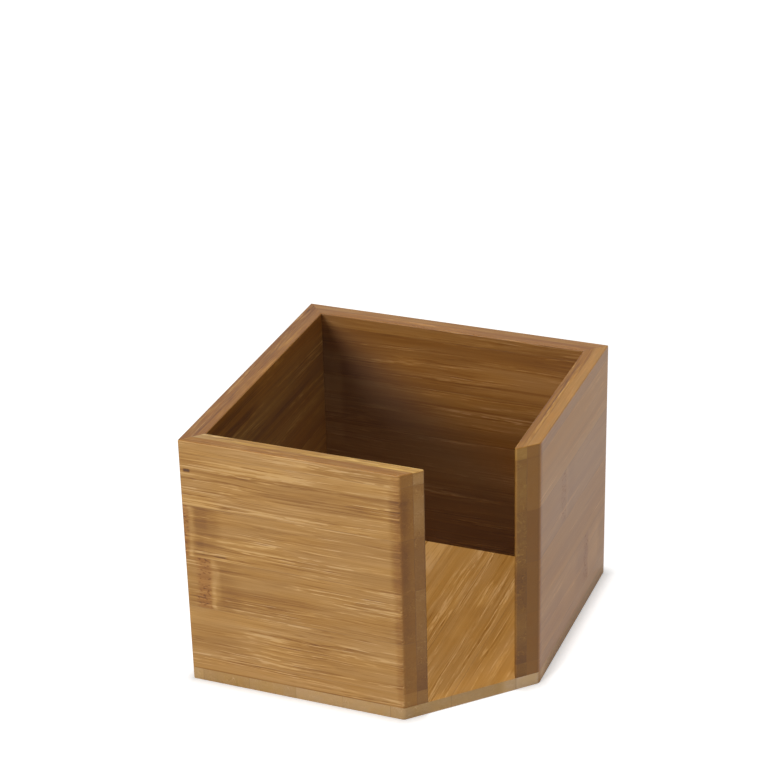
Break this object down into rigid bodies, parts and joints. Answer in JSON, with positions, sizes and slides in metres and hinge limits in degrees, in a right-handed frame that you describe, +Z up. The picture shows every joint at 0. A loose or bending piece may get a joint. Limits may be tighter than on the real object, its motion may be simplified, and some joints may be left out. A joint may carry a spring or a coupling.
{
  "type": "napkin holder",
  "caption": "Square bamboo napkin box, open at the top, with one front corner cut away at 45 degrees for reaching the stack; mitred walls on a flat base.",
  "frame": {"origin": "middle of the underside of the base, on the surface it stands on", "axes": "+Z up, -Y towards the front, +X to the right; the open corner is at +X -Y"},
  "size_m": [0.145, 0.145, 0.119],
  "materials": {
    "outer_bamboo": "carbonised bamboo strips, satin clear lacquer, grain horizontal",
    "inner_bamboo": "carbonised bamboo strips, satin clear lacquer, grain horizontal",
    "base_bamboo": "carbonised bamboo strips, satin clear lacquer, grain front to back"
  },
  "bodies": {
    "root": {"back_wall_inner_strip_1": "inner_bamboo", "back_wall_inner_strip_2": "inner_bamboo", "back_wall_inner_strip_3": "inner_bamboo", "back_wall_inner_strip_4": "inner_bamboo", "back_wall_inner_strip_5": "inner_bamboo", "back_wall_inner_strip_6": "inner_bamboo", "back_wall_outer_strip_1": "outer_bamboo", "back_wall_outer_strip_2": "outer_bamboo", "back_wall_outer_strip_3": "outer_bamboo", "back_wall_outer_strip_4": "outer_bamboo", "back_wall_outer_strip_5": "outer_bamboo", "back_wall_outer_strip_6": "outer_bamboo", "base_strip_1": "base_bamboo", "base_strip_2": "base_bamboo", "base_strip_3": "base_bamboo", "base_strip_4": "base_bamboo", "base_strip_5": "base_bamboo", "base_strip_6": "base_bamboo", "base_strip_7": "base_bamboo", "base_strip_8": "base_bamboo", "front_wall_inner_strip_1": "inner_bamboo", "front_wall_inner_strip_2": "inner_bamboo", "front_wall_inner_strip_3": "inner_bamboo", "front_wall_inner_strip_4": "inner_bamboo", "front_wall_inner_strip_5": "inner_bamboo", "front_wall_inner_strip_6": "inner_bamboo", "front_wall_outer_strip_1": "outer_bamboo", "front_wall_outer_strip_2": "outer_bamboo", "front_wall_outer_strip_3": "outer_bamboo", "front_wall_outer_strip_4": "outer_bamboo", "front_wall_outer_strip_5": "outer_bamboo", "front_wall_outer_strip_6": "outer_bamboo", "left_wall_inner_strip_1": "inner_bamboo", "left_wall_inner_strip_2": "inner_bamboo", "left_wall_inner_strip_3": "inner_bamboo", "left_wall_inner_strip_4": "inner_bamboo", "left_wall_inner_strip_5": "inner_bamboo", "left_wall_inner_strip_6": "inner_bamboo", "left_wall_outer_strip_1": "outer_bamboo", "left_wall_outer_strip_2": "outer_bamboo", "left_wall_outer_strip_3": "outer_bamboo", "left_wall_outer_strip_4": "outer_bamboo", "left_wall_outer_strip_5": "outer_bamboo", "left_wall_outer_strip_6": "outer_bamboo", "right_wall_inner_strip_1": "inner_bamboo", "right_wall_inner_strip_2": "inner_bamboo", "right_wall_inner_strip_3": "inner_bamboo", "right_wall_inner_strip_4": "inner_bamboo", "right_wall_inner_strip_5": "inner_bamboo", "right_wall_inner_strip_6": "inner_bamboo", "right_wall_outer_strip_1": "outer_bamboo", "right_wall_outer_strip_2": "outer_bamboo", "right_wall_outer_strip_3": "outer_bamboo", "right_wall_outer_strip_4": "outer_bamboo", "right_wall_outer_strip_5": "outer_bamboo", "right_wall_outer_strip_6": "outer_bamboo"}
  },
  "joints": []
}
